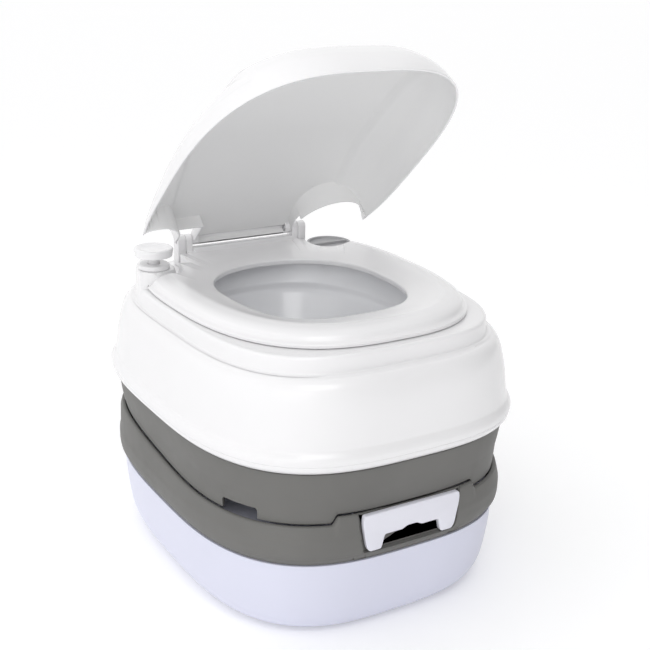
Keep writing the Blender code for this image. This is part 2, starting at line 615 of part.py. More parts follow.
def make_hinge_lugs():
    for word, side, lug_x in zip(("left", "right"), (1, -1), LUG_X):
        lug = hinge_arm(f"hinge_lug_{word}", lug_x - 0.0050, lug_x + 0.0050, LUG_RADIUS, DECK + GAP,
                        "gloss_white")
        cut(lug, rod(f"lug_bore_{word}", (lug_x - 0.01, HINGE_Y, HINGE_Z), (lug_x + 0.01, HINGE_Y, HINGE_Z),
                     PIN_RADIUS + 0.0003, sides=16))
        rod(f"hinge_pin_{word}", (lug_x - side * 0.0055, HINGE_Y, HINGE_Z),
            (lug_x + side * 0.0225, HINGE_Y, HINGE_Z), PIN_RADIUS, "steel", sides=16)


def lid_dome(name, inset, finish=None):
    """The lid's outer or inner skin as a solid in the closed position, rim first."""
    steps = [(0.0, 0.0), (-0.0040, 0.0160), (-0.0140, 0.0350), (-0.0280, 0.0490), (-0.0500, 0.0565),
             (-0.1000, 0.0615)]
    half_x, half_y = LID_HALF[0] - inset, LID_HALF[1] - inset
    steps = [(offset, height, 1.0) for offset, height in steps] + [(-0.1000, 0.0615, 0.55), (-0.1000, 0.0615, 0.05)]
    rings = []
    if inset:
        rings.append(superellipse(half_x, half_y, 3.0, LID_RIM - 0.01, 0.0, 0.020, LID_CENTRE_X))
    for offset, height, share in steps:
        ring = superellipse(half_x + offset, half_y + offset, 3.0 - 5.0 * offset, 0.0, 0.0, 0.020, LID_CENTRE_X)
        for point in ring:
            point.x, point.y = point.x * share, point.y * share
            lowering = 1.0 - 0.50 * smooth_step(point.y / 0.160)
            point.z = LID_RIM + height * lowering - inset * min(1.0, height / 0.030)
        rings.append(ring)
    return loft(name, rings, finish)


def make_lid():
    """The lid is shaped in its closed position, then turned open about the hinge."""
    lid = lid_dome("lid", 0.0, "gloss_white")
    hollow = lid_dome("lid_hollow", LID_WALL)
    back = HINGE_Y + 0.0060
    sides = (LUG_X[0] + 0.0140, LUG_X[1] - 0.0140)
    for item, grow in ((lid, 0.0), (hollow, LID_WALL)):
        cut(item, block(f"lid_rear_{grow}", (-0.30, back - grow, 0.25), (0.30, 0.30, 0.45)),
            rear_notch(f"lid_pump_notch_{grow}", PUMP, PUMP_NOTCH + grow, sides[0] + grow, 0.0115 - grow),
            rear_notch(f"lid_filler_notch_{grow}", LID_FILLER_NOTCH, FILLER_NOTCH + grow, sides[1] - grow))
    seat_room = block("lid_seat_room", (0.030, 0.050, 0.28), (0.20, 0.20, SEAT_TOP + 0.0015))
    room_steps = ((-0.0055, 0.27), (-0.0055, 0.3088), (-0.0080, 0.3092), (-0.0080, 0.34))
    boolean(seat_room, "INTERSECT", loft("lid_seat_room_plan", [seat_plan(*step) for step in room_steps]))
    cut(lid, hollow, seat_room, block("lid_tongue_cut", (-0.30, 0.1180, 0.25), (0.30, 0.30, HINGE_Z - 0.0050)))
    for side, lug_x in zip((1, -1), LUG_X):
        near, far = lug_x + side * 0.0140, lug_x + side * 0.0220
        join(lid, lid_arm(f"lid_arm_{side}", min(near, far), max(near, far)))
    cut(lid, pin_bore("lid_pin_bore"))
    set_origin(lid, (0.0, HINGE_Y, HINGE_Z))
    for cutter in bpy.data.objects:
        if cutter.name.startswith("lid_"):
            cutter.parent = lid
            cutter.matrix_parent_inverse = Matrix.Translation((0.0, -HINGE_Y, -HINGE_Z))
    lid.rotation_euler = (-LID_OPEN_AT_REST, 0.0, 0.0)


def lid_arm(name, low_x, high_x):
    """Web from the hinge axis to the lid's rear wall and roof."""
    outline = arc((HINGE_Y, HINGE_Z), 0.0060, 0, -180, 12)
    outline += [(HINGE_Y - 0.0060, HINGE_Z + 0.0035), (HINGE_Y + 0.0050, HINGE_Z + 0.0035)]
    return prism(name, outline, "X", low_x, high_x)


def make_latch():
    """Rear latch that holds the halves together, on a pin in a small bracket."""
    x, face = -0.060, 0.2172
    axis_y, axis_z = face + 0.0050, 0.1730
    bracket = block("latch_bracket", (x - 0.020, face, 0.1640), (x + 0.020, face + 0.0085, 0.1820), "warm_grey")
    cut(bracket, block("latch_slot", (x - 0.0125, face + 0.0012, 0.150), (x + 0.0125, 0.240, 0.190)))
    cut(bracket, rod("latch_bore", (x - 0.03, axis_y, axis_z), (x + 0.03, axis_y, axis_z), 0.0019, sides=12))
    rod("latch_pin", (x - 0.0195, axis_y, axis_z), (x + 0.0195, axis_y, axis_z), 0.0015, "steel", sides=12)
    latch = block("rear_latch", (x - 0.0120, axis_y - 0.0012, 0.1330), (x + 0.0120, axis_y + 0.0020, 0.1755),
                  "gloss_white")
    join(latch, rod("latch_barrel", (x - 0.0120, axis_y, axis_z), (x + 0.0120, axis_y, axis_z), 0.0031, sides=14))
    cut(latch, rod("latch_barrel_bore", (x - 0.03, axis_y, axis_z), (x + 0.03, axis_y, axis_z), 0.0019, sides=12))
    set_origin(latch, (x, axis_y, axis_z))


def main():
    clear_scene()
    make_waste_tank()
    make_collar()
    make_valve()
    make_spout()
    make_vent()
    make_skirt()
    make_flush_tank_floor()
    make_shell()
    make_bowl()
    make_pump()
    make_flush_line()
    make_filler()
    make_seat()
    make_hinge_lugs()
    make_lid()
    make_latch()


main()
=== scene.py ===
"""Looks of the portable camp toilet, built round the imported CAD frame.

Metres, +Z up, -Y is the front. Each visible shell is rebuilt here as a smooth, rounded mesh on the
same formulas as the CAD solid that it replaces, and rides on the same body.
"""
import math

import bmesh
import bpy
import numpy as np
from mathutils import Matrix, Vector


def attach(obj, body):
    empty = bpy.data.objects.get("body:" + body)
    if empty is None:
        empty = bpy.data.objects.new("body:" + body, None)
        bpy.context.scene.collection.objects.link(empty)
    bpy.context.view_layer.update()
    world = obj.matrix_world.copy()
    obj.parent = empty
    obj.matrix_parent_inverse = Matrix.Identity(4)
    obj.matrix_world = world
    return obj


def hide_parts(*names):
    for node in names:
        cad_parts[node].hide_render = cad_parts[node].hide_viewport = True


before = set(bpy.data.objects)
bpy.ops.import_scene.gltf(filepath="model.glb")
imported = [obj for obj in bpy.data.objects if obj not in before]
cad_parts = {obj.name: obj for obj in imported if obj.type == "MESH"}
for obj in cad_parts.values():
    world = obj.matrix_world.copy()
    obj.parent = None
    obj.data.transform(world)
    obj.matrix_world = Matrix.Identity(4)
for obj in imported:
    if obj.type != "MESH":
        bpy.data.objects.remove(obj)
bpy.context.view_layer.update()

# ---- driving dimensions, shared with the CAD model (metres) ----
HALF_WIDTH, HALF_DEPTH, PLAN_POWER, REAR_POWER = 0.1825, 0.2188, 3.04, 3.30
WALL, GAP = 0.003, 0.0004
TANK_DECK, FLOOR = 0.121, 0.156
COLLAR_BOTTOM, RIM_BOTTOM, SHOULDER, DECK = 0.0875, 0.1895, 0.279, 0.2965
SEAM_FRONT, SEAM_REAR, SEAM_STEP, STEP_HALF, STEP_WIDTH = 0.131, 0.150, 0.009, 0.083, 0.007
PUMP, PUMP_PLATFORM = (-0.1325, 0.109), 0.3125
FILLER, FILLER_PLATFORM = (0.109, 0.1328), 0.2990
NOZZLE = (Vector((-0.0760, 0.0900, 0.2842)), Vector((-0.1060, 0.1130, 0.2842)))
BOWL_CENTRE, OUTLET = (0.0, -0.004), (0.0, -0.020)
HINGE_Y, HINGE_Z = 0.156, 0.3265
LUG_X, LUG_RADIUS, PIN_RADIUS = (-0.080, 0.080), 0.0068, 0.003
SEAT_BOTTOM, SEAT_TOP, SEAT_REAR = 0.2985, 0.3145, 0.158
DECK_HALF, DECK_CENTRE_Y = (0.1600, 0.1885), -0.0015
SEAT_HALF, SEAT_CENTRE_Y = (0.1553, 0.1861), 0.0078
OPENING_HALF_X, OPENING_FRONT, OPENING_REAR, OPENING_CENTRE_Y = 0.0955, 0.1172, 0.0930, 0.008
LID_RIM, LID_WALL, LID_OPEN = 0.3050, 0.0025, math.radians(42.5)
PUMP_NOTCH, LID_FILLER_NOTCH, FILLER_NOTCH = 0.0275, (0.104, 0.129), 0.042
LID_HALF, LID_CENTRE_X = (0.1560, 0.1960), 0.0010
LID_CREASE, CREASE_DROP, CREASE_WIDTH = 0.102, 0.006, 0.007   # the lid's raised middle panel
BLADE_Z, HANDLE_FACE_Y, HANDLE_DEPTH = 0.1257, -0.2168, 0.006
SPOUT, SPOUT_Z, SPOUT_LENGTH = (0.108, 0.148), 0.1385, 0.084
VENT = (0.030, 0.120)
LATCH_X, LATCH_FACE, LATCH_Z = -0.060, 0.2172, 0.1730

WORLD_BRIGHT, WORLD_DIM, KEY_POWER, TOP_POWER, INNER_POWER = 1.08, 0.16, 3.2, 1.0, 1.7

PLAN_POINTS = 480            # points round a plan ring
ROUND_POINTS = 96            # points round a small turned part
SHARP = math.radians(38)     # edges sharper than this stay crisp


# ---- materials ----
def plastic(name, colour, roughness, grain, grain_size, tint=0.03, coat=0.0):
    """Moulded plastic: slow colour drift, fine surface grain and faint flow marks."""
    material = bpy.data.materials.new(name)
    material.use_nodes = True
    nodes, links = material.node_tree.nodes, material.node_tree.links
    shader = nodes["Principled BSDF"]
    place = nodes.new("ShaderNodeTexCoord")
    drift = nodes.new("ShaderNodeTexNoise")
    drift.inputs["Scale"].default_value = 9.0
    drift.inputs["Detail"].default_value = 3.0
    ramp = nodes.new("ShaderNodeValToRGB")
    dark = tuple(value * (1 - tint) for value in colour)
    ramp.color_ramp.elements[0].position = 0.3
    ramp.color_ramp.elements[0].color = (*dark, 1.0)
    ramp.color_ramp.elements[1].position = 0.7
    ramp.color_ramp.elements[1].color = (*colour, 1.0)
    links.new(place.outputs["Object"], drift.inputs["Vector"])
    links.new(drift.outputs["Fac"], ramp.inputs["Fac"])
    links.new(ramp.outputs["Color"], shader.inputs["Base Color"])
    smear = nodes.new("ShaderNodeTexNoise")
    smear.inputs["Scale"].default_value = 60.0
    smear.inputs["Detail"].default_value = 4.0
    span = nodes.new("ShaderNodeMapRange")
    span.inputs["To Min"].default_value = roughness * 0.85
    span.inputs["To Max"].default_value = min(1.0, roughness * 1.15)
    links.new(place.outputs["Object"], smear.inputs["Vector"])
    links.new(smear.outputs["Fac"], span.inputs["Value"])
    links.new(span.outputs["Result"], shader.inputs["Roughness"])
    pits = nodes.new("ShaderNodeTexNoise")
    pits.inputs["Scale"].default_value = 1.0 / grain_size
    pits.inputs["Detail"].default_value = 2.0
    bump = nodes.new("ShaderNodeBump")
    bump.inputs["Strength"].default_value = grain
    bump.inputs["Distance"].default_value = 0.0004
    links.new(place.outputs["Object"], pits.inputs["Vector"])
    links.new(pits.outputs["Fac"], bump.inputs["Height"])
    links.new(bump.outputs["Normal"], shader.inputs["Normal"])
    shader.inputs["Coat Weight"].default_value = coat
    shader.inputs["Coat Roughness"].default_value = 0.12
    return material


def make_materials():
    finishes = {
        "gloss_white": plastic("gloss_white", (0.83, 0.825, 0.835), 0.24, 0.02, 0.004, 0.012, 0.25),
        "bowl_white": plastic("bowl_white", (0.86, 0.865, 0.885), 0.20, 0.02, 0.004, 0.012, 0.30),
        "tank_white": plastic("tank_white", (0.69, 0.70, 0.82), 0.40, 0.05, 0.0015, 0.02),
        "warm_grey": plastic("warm_grey", (0.150, 0.148, 0.141), 0.56, 0.30, 0.0009, 0.10),
        # painted shade: a dark grey for the back of the handle pocket, where the recess lies in shadow
        "pocket_painted_shade": plastic("pocket_painted_shade", (0.110, 0.102, 0.090), 0.60, 0.20, 0.0009, 0.10),
        "handle_white": plastic("handle_white", (0.76, 0.76, 0.83), 0.36, 0.05, 0.0015, 0.02),
        "cap_grey": plastic("cap_grey", (0.40, 0.40, 0.41), 0.48, 0.15, 0.001, 0.06),
        "black_rubber": plastic("black_rubber", (0.025, 0.025, 0.027), 0.72, 0.30, 0.0007, 0.20),
        "clear_tube": plastic("clear_tube", (0.78, 0.74, 0.60), 0.30, 0.05, 0.002, 0.05),
        "steel": plastic("steel", (0.60, 0.60, 0.62), 0.32, 0.10, 0.0006, 0.10),
    }
    finishes["steel"].node_tree.nodes["Principled BSDF"].inputs["Metallic"].default_value = 1.0
    return finishes


FINISH = make_materials()


# ---- curves and outlines ----
def smooth_step(value):
    value = np.clip(value, 0.0, 1.0)
    return value * value * (3.0 - 2.0 * value)


def soft_min(a, b, radius):
    """The lower of two heights, with the crease between them rounded."""
    share = np.clip(0.5 + 0.5 * (b - a) / radius, 0.0, 1.0)
    return b * (1 - share) + a * share - radius * share * (1 - share)


def even_turns(count=PLAN_POINTS):
    return np.linspace(0.0, 2 * math.pi, count, endpoint=False)


def plan(half_x, half_y, power, z, centre=(0.0, 0.0), taper=0.0, turns=None, rear_power=None):
    """A superellipse ring, fuller in its rear half if rear_power says so; z is a height or a function."""
    turns = even_turns() if turns is None else turns
    c, s = np.cos(turns), np.sin(turns)
    power = np.where(s > 0, rear_power or power, power)
    size = (np.abs(c) ** power + np.abs(s) ** power) ** (1 / power)
    across, along = c / size, s / size
    x = centre[0] + half_x * (1 + taper * along) * across
    y = centre[1] + half_y * along
    height = z(x, y) if callable(z) else np.full(len(x), float(z))
    return np.column_stack((x, y, height))


def body_plan(offset, z, turns=None):
    return plan(HALF_WIDTH + offset, HALF_DEPTH + offset, PLAN_POWER, z, turns=turns, rear_power=REAR_POWER)


def deck_plan(offset, z):
    return plan(DECK_HALF[0] + offset, DECK_HALF[1] + offset, 3.4, z, (0.0, DECK_CENTRE_Y), 0.024)


def spline(points, steps=6):
    """A smooth curve through the points, which may hold any number of values each."""
    points = [np.array(point, float) for point in points]
    ends = [2 * points[0] - points[1]] + points + [2 * points[-1] - points[-2]]
    curve = []
    for a, b, c, d in zip(ends, ends[1:], ends[2:], ends[3:]):
        for i in range(steps):
            t = i / steps
            curve.append(0.5 * (2 * b + (c - a) * t + (2 * a - 5 * b + 4 * c - d) * t ** 2
                                + (3 * b - a - 3 * c + d) * t ** 3))
    return curve + [points[-1]]


def rounded(points, steps=4, closed=False):
    """A polyline of (u, v, corner radius) with each corner turned into an arc between two holding points."""
    result = []
    count = len(points)
    for i, (u, v, radius) in enumerate(points):
        here = np.array((u, v), float)
        at_end = not closed and i in (0, count - 1)
        if radius <= 0 or at_end:
            result.append(here)
            continue
        before = np.array(points[i - 1][:2], float) - here
        after = np.array(points[(i + 1) % count][:2], float) - here
        reach = min(radius, 0.45 * np.linalg.norm(before), 0.45 * np.linalg.norm(after))
        start = here + before / np.linalg.norm(before) * reach
        end = here + after / np.linalg.norm(after) * reach
        result.append(start + (start - here) * 0.1)
        for k in range(steps + 1):
            t = k / steps
            result.append((1 - t) ** 2 * start + 2 * t * (1 - t) * here + t ** 2 * end)
        result.append(end + (end - here) * 0.1)
    return result


def arc(centre, radius, start_deg, end_deg, steps=48):
    angles = np.radians(np.linspace(start_deg, end_deg, steps + 1))
    return [(centre[0] + radius * math.cos(a), centre[1] + radius * math.sin(a)) for a in angles]


# ---- meshes ----
def make_piece(name, bm, finish=None):
    bmesh.ops.recalc_face_normals(bm, faces=bm.faces)
    mesh = bpy.data.meshes.new(name)
    bm.to_mesh(mesh)
    bm.free()
    piece = bpy.data.objects.new(name, mesh)
    bpy.context.scene.collection.objects.link(piece)
    if finish:
        mesh.materials.append(FINISH[finish])
    return piece


def skin(name, rings, finish=None, closed=True):
    """Skins rings of equal length in order: closed runs make a tube, open ones get end caps."""
    bm = bmesh.new()
    rows = [[bm.verts.new(point) for point in ring] for ring in rings]
    pairs = list(zip(rows, rows[1:]))
    if closed:
        pairs.append((rows[-1], rows[0]))
    count = len(rows[0])
    for low, high in pairs:
        for i in range(count):
            j = (i + 1) % count
            bm.faces.new((low[i], low[j], high[j], high[i]))
    if not closed:
        bm.faces.new(list(reversed(rows[0])))
        bm.faces.new(rows[-1])
    return make_piece(name, bm, finish)


def lathe(name, profile, centre, finish=None, closed=True, points=ROUND_POINTS):
    """Turns a profile of (radius, z) about an upright axis."""
    turns = even_turns(points)
    rings = []
    for radius, z in profile:
        rings.append(np.column_stack((centre[0] + radius * np.cos(turns), centre[1] + radius * np.sin(turns),
                                      np.full(points, z))))
    return skin(name, rings, finish, closed)


def rod(name, start, end, radius, finish=None, points=ROUND_POINTS, edge=0.0):
    """A round bar between two points, with its end edges rounded by edge."""
    start, end = Vector(start), Vector(end)
    along = (end - start).normalized()
    side = along.orthogonal().normalized()
    up = along.cross(side)
    length = (end - start).length
    ends = [(0.0, radius)]
    if edge:
        ends = [(edge * (1 - math.cos(a)), radius - edge * (1 - math.sin(a)))
                for a in np.linspace(0, math.pi / 2, 5)]
    shape = ends + [(length - step, r) for step, r in reversed(ends)]
    rings = []
    for step, r in shape:
        middle = start + along * step
        rings.append([middle + r * (math.cos(t) * side + math.sin(t) * up) for t in even_turns(points)])
    return skin(name, rings, finish, False)


def prism(name, outline, axis, start, end, finish=None):
    """Extrudes a flat outline along X, Y or Z."""
    order = {"X": (2, 0, 1), "Y": (0, 2, 1), "Z": (0, 1, 2)}[axis]
    rings = []
    for level in (start, end):
        values = [(point[0], point[1], level) for point in outline]
        rings.append([tuple(value[i] for i in order) for value in values])
    return skin(name, rings, finish, False)


def block(name, low, high, finish=None, bevel=0.0, segments=3):
    bm = bmesh.new()
    bmesh.ops.create_cube(bm, size=1.0)
    for vert in bm.verts:
        for axis in range(3):
            vert.co[axis] = (low[axis] + high[axis]) / 2 + vert.co[axis] * (high[axis] - low[axis])
    if bevel:
        bmesh.ops.bevel(bm, geom=list(bm.edges), offset=bevel, segments=segments, affect="EDGES", profile=0.5)
    return make_piece(name, bm, finish)


def combine(piece, operation, *tools):
    """Applies a Boolean with each tool in turn and removes the tools."""
    for tool in tools:
        modifier = piece.modifiers.new("shape", "BOOLEAN")
        modifier.operation = operation
        modifier.solver = "MANIFOLD"
        modifier.object = tool
        apply_modifiers(piece)
        bpy.data.objects.remove(tool)
    return piece


def cut(piece, *tools):
    return combine(piece, "DIFFERENCE", *tools)


def join(piece, *tools):
    return combine(piece, "UNION", *tools)


def apply_modifiers(piece):
    bpy.context.view_layer.update()
    graph = bpy.context.evaluated_depsgraph_get()
    mesh = bpy.data.meshes.new_from_object(piece.evaluated_get(graph))
    piece.modifiers.clear()
    old = piece.data
    piece.data = mesh
    bpy.data.meshes.remove(old)


def soften(piece, width, segments=2, angle=40.0):
    """Rounds the sharp edges that the cuts left."""
    bm = bmesh.new()
    bm.from_mesh(piece.data)
    bmesh.ops.remove_doubles(bm, verts=bm.verts, dist=0.00005)
    bm.to_mesh(piece.data)
    bm.free()
    modifier = piece.modifiers.new("soft_edges", "BEVEL")
    modifier.limit_method = "ANGLE"
    modifier.angle_limit = math.radians(angle)
    modifier.width = width
    modifier.segments = segments
    modifier.use_clamp_overlap = False
    apply_modifiers(piece)
    return piece


def finish_piece(piece, body, slot, *nodes):
    """Smooth shading, then hangs the piece on the empty of the body it rides on and hides the CAD nodes that it
    replaces.
    """
    piece.data.shade_smooth()
    piece.data.set_sharp_from_angle(angle=SHARP)
    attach(piece, body)
    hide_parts(*nodes)
    return piece


# ---- shared shapes ----
def seam_height(x, y):
    """Where the halves meet: a slow rise to the rear and one rounded step up beside the handle."""
    rise = smooth_step((y + 0.12) / 0.27)
    step = smooth_step((STEP_HALF + STEP_WIDTH / 2 - np.abs(x)) / STEP_WIDTH)
    return SEAM_FRONT + (SEAM_REAR - SEAM_FRONT) * rise + np.where(y < 0, SEAM_STEP * step, 0.0)


def seam_turns():
    """Even angles, with more of them where the seam steps up beside the handle."""
    turns = list(even_turns(640))
    spread = 0.006
    for side in (-1, 1):
        for x in np.linspace(STEP_HALF - spread, STEP_HALF + spread, 60):
            share = min(1.0, x / HALF_WIDTH)
            along = (1 - share ** PLAN_POWER) ** (1 / PLAN_POWER)
            turns.append(math.atan2(-along, side * share) % (2 * math.pi))
    return np.array(sorted(set(turns)))


SEAM_TURNS = seam_turns()


def below_seam(drop):
    return lambda x, y: seam_height(x, y) - drop


# ---- the waste tank half ----
def make_waste_tank():
    side = spline([(-0.0410, 0.0002), (-0.0340, 0.0012), (-0.0262, 0.0050), (-0.0190, 0.0125),
                   (-0.0138, 0.0240), (-0.0110, 0.0380), (-0.0080, 0.0620), (-0.0066, 0.0850)], 5)
    top = rounded([(-0.0065, 0.0850, 0), (-0.0064, 0.0868, 0.0006), (-0.0135, 0.0870, 0.0006),
                   (-0.0135, 0.1165, 0.0010), (-0.0180, TANK_DECK, 0.0015), (-0.0250, TANK_DECK, 0)])
    inside = [(-0.0200, TANK_DECK - WALL), (-0.0165, 0.1120), (-0.0165, 0.0845), (-0.0100, 0.0820),
              (-0.0150, 0.0340), (-0.0240, 0.0110), (-0.0360, WALL)]
    rings = [body_plan(-0.0800, 0.0), body_plan(-0.0440, 0.0)]
    rings += [body_plan(*step) for step in side + top[1:]]
    mouth = [(0.0560, TANK_DECK, 0), (0.0500, TANK_DECK, 0.0008), (0.0500, TANK_DECK - WALL, 0.0008),
             (0.0560, TANK_DECK - WALL, 0)]
    rings += [plan(r, r, 2.0, z, OUTLET) for r, z in rounded(mouth)]
    rings += [body_plan(*step) for step in inside] + [body_plan(-0.0800, WALL)]
    tank = skin("waste_tank_shell", cap_centre(rings), "tank_white", False)
    join(tank, block("pocket_wall", (-0.047, -0.2040, 0.0930), (0.047, -0.1770, 0.1195), bevel=0.0015))
    cut(tank, block("pocket", (-0.044, -0.2250, 0.0960), (0.044, -0.1800, 0.1165), bevel=0.003),
        rod("spout_hole", (*SPOUT, 0.110), (*SPOUT, 0.130), 0.0105),
        rod("vent_hole", (*VENT, 0.110), (*VENT, 0.130), 0.0062))
    # painted shade: the faces at the back of the handle pocket take the dark grey in place of the tank's own
    # white
    tank.data.materials.append(FINISH["pocket_painted_shade"])
    for face in tank.data.polygons:
        if abs(face.center.x) < 0.046 and face.center.y < -0.178 and 0.095 < face.center.z < 0.118:
            face.material_index = 1
    finish_piece(tank, "waste_unit", "tank_white", "waste_tank")


def cap_centre(rings):
    """Adds small rings at both ends of an open run, so that the flat caps there stay small."""
    first, last = np.array(rings[0]), np.array(rings[-1])
    small = [ring * (0.05, 0.05, 1.0) for ring in (first, last)]
    return [small[0]] + list(rings) + [small[1]]


def make_collar():
    """The grey ring round the tank's top: a chamfered lower band, a fine step line and a rounded top edge."""
    outside = rounded([(-0.0098, 0.0875, 0), (-0.0080, COLLAR_BOTTOM, 0.0010), (-0.0052, 0.0935, 0.0020),
                       (-0.0048, 0.0962, 0.0003), (-0.0022, 0.0970, 0.0005), (-0.0012, 0.1030, 0.0030),
                       (-0.0012, 0.1150, 0.0050), (-0.0024, 0.1205, 0)])
    rings = [body_plan(*step, turns=SEAM_TURNS) for step in outside[1:]]
    edge = rounded([(-0.0030, 0.0072, 0), (-0.0046, 0.0010, 0.0016), (-0.0060, 0.0, 0.0008),
                    (-0.0082, 0.0, 0.0008),
                    (-0.0090, 0.0040, 0)])
    rings += [body_plan(offset, below_seam(GAP + drop), SEAM_TURNS) for offset, drop in edge]
    rings += [body_plan(-0.0098, 0.1200, SEAM_TURNS), body_plan(-0.0098, COLLAR_BOTTOM, SEAM_TURNS)]
    collar = skin("tank_collar_ring", rings, "warm_grey")
    join(collar, block("recess_wall", (-0.0635, -0.2098, 0.0890), (0.0635, -0.2066, 0.1392)))
    outline = rounded([(-0.0560, 0.0970, 0.004), (-0.0612, 0.1330, 0.010), (-0.0612, 0.1500, 0),
                       (0.0606, 0.1500, 0), (0.0606, 0.1330, 0.010), (0.0548, 0.0970, 0.004)], 5, True)
    cut(collar, prism("recess", outline, "Y", -0.2400, -0.2100),
        block("recess_fingers", (-0.0400, -0.2150, 0.0990), (0.0400, -0.2000, 0.1150), bevel=0.002),
        block("blade_slot", (-0.0545, -0.2150, BLADE_Z - 0.0022), (0.0545, -0.2000, BLADE_Z + 0.0022)),
        rear_window("collar_window", 0.1222, 0.160))
    soften(collar, 0.0006)
    finish_piece(collar, "waste_unit", "warm_grey", "tank_collar")


def rear_window(name, low, high):
    outline = rounded([(0.026, low, 0.003), (0.128, low, 0.003), (0.128, high, 0.003), (0.026, high, 0.003)],
                      4, True)
    return prism(name, outline, "Y", 0.150, 0.250)


def make_valve():
    frame_block = block("valve_frame_body", (-0.0640, -0.0850, TANK_DECK + GAP), (0.0640, 0.0450, 0.1300),
                        "warm_grey", 0.0012)
    cut(frame_block,
        block("valve_slot", (-0.0530, -0.1000, BLADE_Z - 0.0016), (0.0530, 0.0355, BLADE_Z + 0.0016)),
        rod("valve_bore", (*OUTLET, 0.110), (*OUTLET, 0.140), 0.046))
    places = ((-0.0585, -0.0780), (0.0585, -0.0780), (-0.0585, 0.0380), (0.0585, 0.0380))
    for i, place in enumerate(places):
        cut(frame_block, rod("screw_hole", (*place, 0.120), (*place, 0.135), 0.0022, points=24))
        head = rounded([(0.0001, 0.1216, 0), (0.0018, 0.1216, 0.0003), (0.0018, 0.1304, 0),
                        (0.0036, 0.1304, 0.0002),
                        (0.0032, 0.1320, 0.0006), (0.0001, 0.1324, 0)])
        screw = lathe(f"valve_frame_screw_{i + 1}", head, place, "steel", False, 40)
        for half_x, half_y in ((0.0022, 0.0004), (0.0004, 0.0022)):
            cut(screw, block("cross", (place[0] - half_x, place[1] - half_y, 0.1312),
                             (place[0] + half_x, place[1] + half_y, 0.1340)))
        finish_piece(screw, "waste_unit", "steel", f"valve_screw_{i + 1}")
    soften(frame_block, 0.0004)
    finish_piece(frame_block, "waste_unit", "warm_grey", "valve_frame")
    front = HANDLE_FACE_Y + HANDLE_DEPTH + GAP
    blade = block("slide_blade", (-0.0520, front, BLADE_Z - 0.0012), (0.0520, 0.0345, BLADE_Z + 0.0012),
                  "tank_white", 0.0005)
    finish_piece(blade, "valve", "tank_white", "valve_blade")
    lip = rounded([(0.0480, 0.1304, 0.0002), (0.0540, 0.1304, 0.0002), (0.0530, 0.1335, 0.0010),
                   (0.0490, 0.1345, 0.0010)], 4, True)
    finish_piece(lathe("lip_seal", lip, OUTLET, "black_rubber"), "waste_unit", "black_rubber",
                 "valve_lip_seal")
    make_handle()


def make_handle():
    """U-shaped pull plate with rounded corners, bowed sides and a bump over the finger opening."""
    top, bottom, bar = 0.1385, 0.0982, 0.1130
    right = [(0.0360, bottom, 0.0030), (0.0500, bottom, 0.0035), (0.0532, 0.1040, 0.0060),
             (0.0572, 0.1250, 0.0120),
             (0.0578, 0.1330, 0.0060), (0.0568, top, 0.0032)]
    left = [(-u, v, r) for u, v, r in reversed(right)]
    under = [(-0.0322, bar, 0.0022), (-0.0115, bar, 0.0020), (-0.0060, 0.1160, 0.0022),
             (0.0060, 0.1160, 0.0022),
             (0.0115, bar, 0.0020), (0.0322, bar, 0.0022)]
    outline = rounded(right + left + under, 6, True)
    handle = prism("pull_handle", outline, "Y", HANDLE_FACE_Y + HANDLE_DEPTH, HANDLE_FACE_Y, "handle_white")
    soften(handle, 0.0010, 3, 60.0)
    finish_piece(handle, "valve", "handle_white", "valve_handle")


def make_spout():
    base = rounded([(0.0100, TANK_DECK + GAP, 0.0004), (0.0170, TANK_DECK + GAP, 0.0004),
                    (0.0170, 0.1245, 0.0008),
                    (0.0100, 0.1245, 0.0004)], 4, True)
    finish_piece(lathe("spout_socket", base, SPOUT, "warm_grey"), "waste_unit", "warm_grey", "spout_base")
    pivot = Vector((*SPOUT, SPOUT_Z))
    tip = pivot - Vector((SPOUT_LENGTH - 0.003, 0, 0))
    column = rounded([(0.0001, 0.1249, 0), (0.0145, 0.1249, 0.0006), (0.0145, 0.1520, 0.0040),
                      (0.0001, 0.1520, 0)])
    spout = lathe("spout_elbow", column, SPOUT, "tank_white", False)
    join(spout, rod("arm", pivot, tip, 0.0110, edge=0.0008))
    cut(spout, rod("bore", pivot, tip - Vector((0.01, 0, 0)), 0.0085),
        rod("down", (*SPOUT, 0.120), pivot, 0.0085))
    soften(spout, 0.0006)
    finish_piece(spout, "spout", "tank_white", "pour_spout")
    end = pivot - Vector((SPOUT_LENGTH, 0, 0))
    mouth = end + Vector((0.018, 0, 0))
    cap = rod("spout_screw_cap", end, mouth, 0.0145, "warm_grey", edge=0.0010)
    cut(cap, rod("cap_bore", end + Vector((0.0027, 0, 0)), mouth + Vector((0.01, 0, 0)), 0.0114))
    for i in range(24):
        angle = 2 * math.pi * (i + 0.5) / 24
        edge = Vector((0, 0.0151 * math.cos(angle), 0.0151 * math.sin(angle)))
        cut(cap,
            rod("grip", end + edge - Vector((0.01, 0, 0)), mouth + edge - Vector((0.002, 0, 0)), 0.0010,
                points=12))
    finish_piece(cap, "spout_cap", "warm_grey", "spout_cap")


def make_vent():
    shell = rounded([(0.0048, TANK_DECK + GAP, 0), (0.0105, TANK_DECK + GAP, 0.0003),
                     (0.0105, 0.1290, 0.0010),
                     (0.0072, 0.1300, 0.0004), (0.0072, 0.1232, 0), (0.0048, 0.1232, 0)], 4, True)
    finish_piece(lathe("vent_ring", shell, VENT, "warm_grey"), "waste_unit", "warm_grey", "vent_housing")
    button = rounded([(0.0001, 0.1180, 0), (0.0040, 0.1180, 0.0003), (0.0040, 0.1285, 0.0003),
                      (0.0066, 0.1285, 0.0003),
                      (0.0066, 0.1350, 0.0016), (0.0001, 0.1350, 0)])
    finish_piece(lathe("vent_push", button, VENT, "cap_grey", False), "vent_button", "cap_grey",
                 "vent_button")


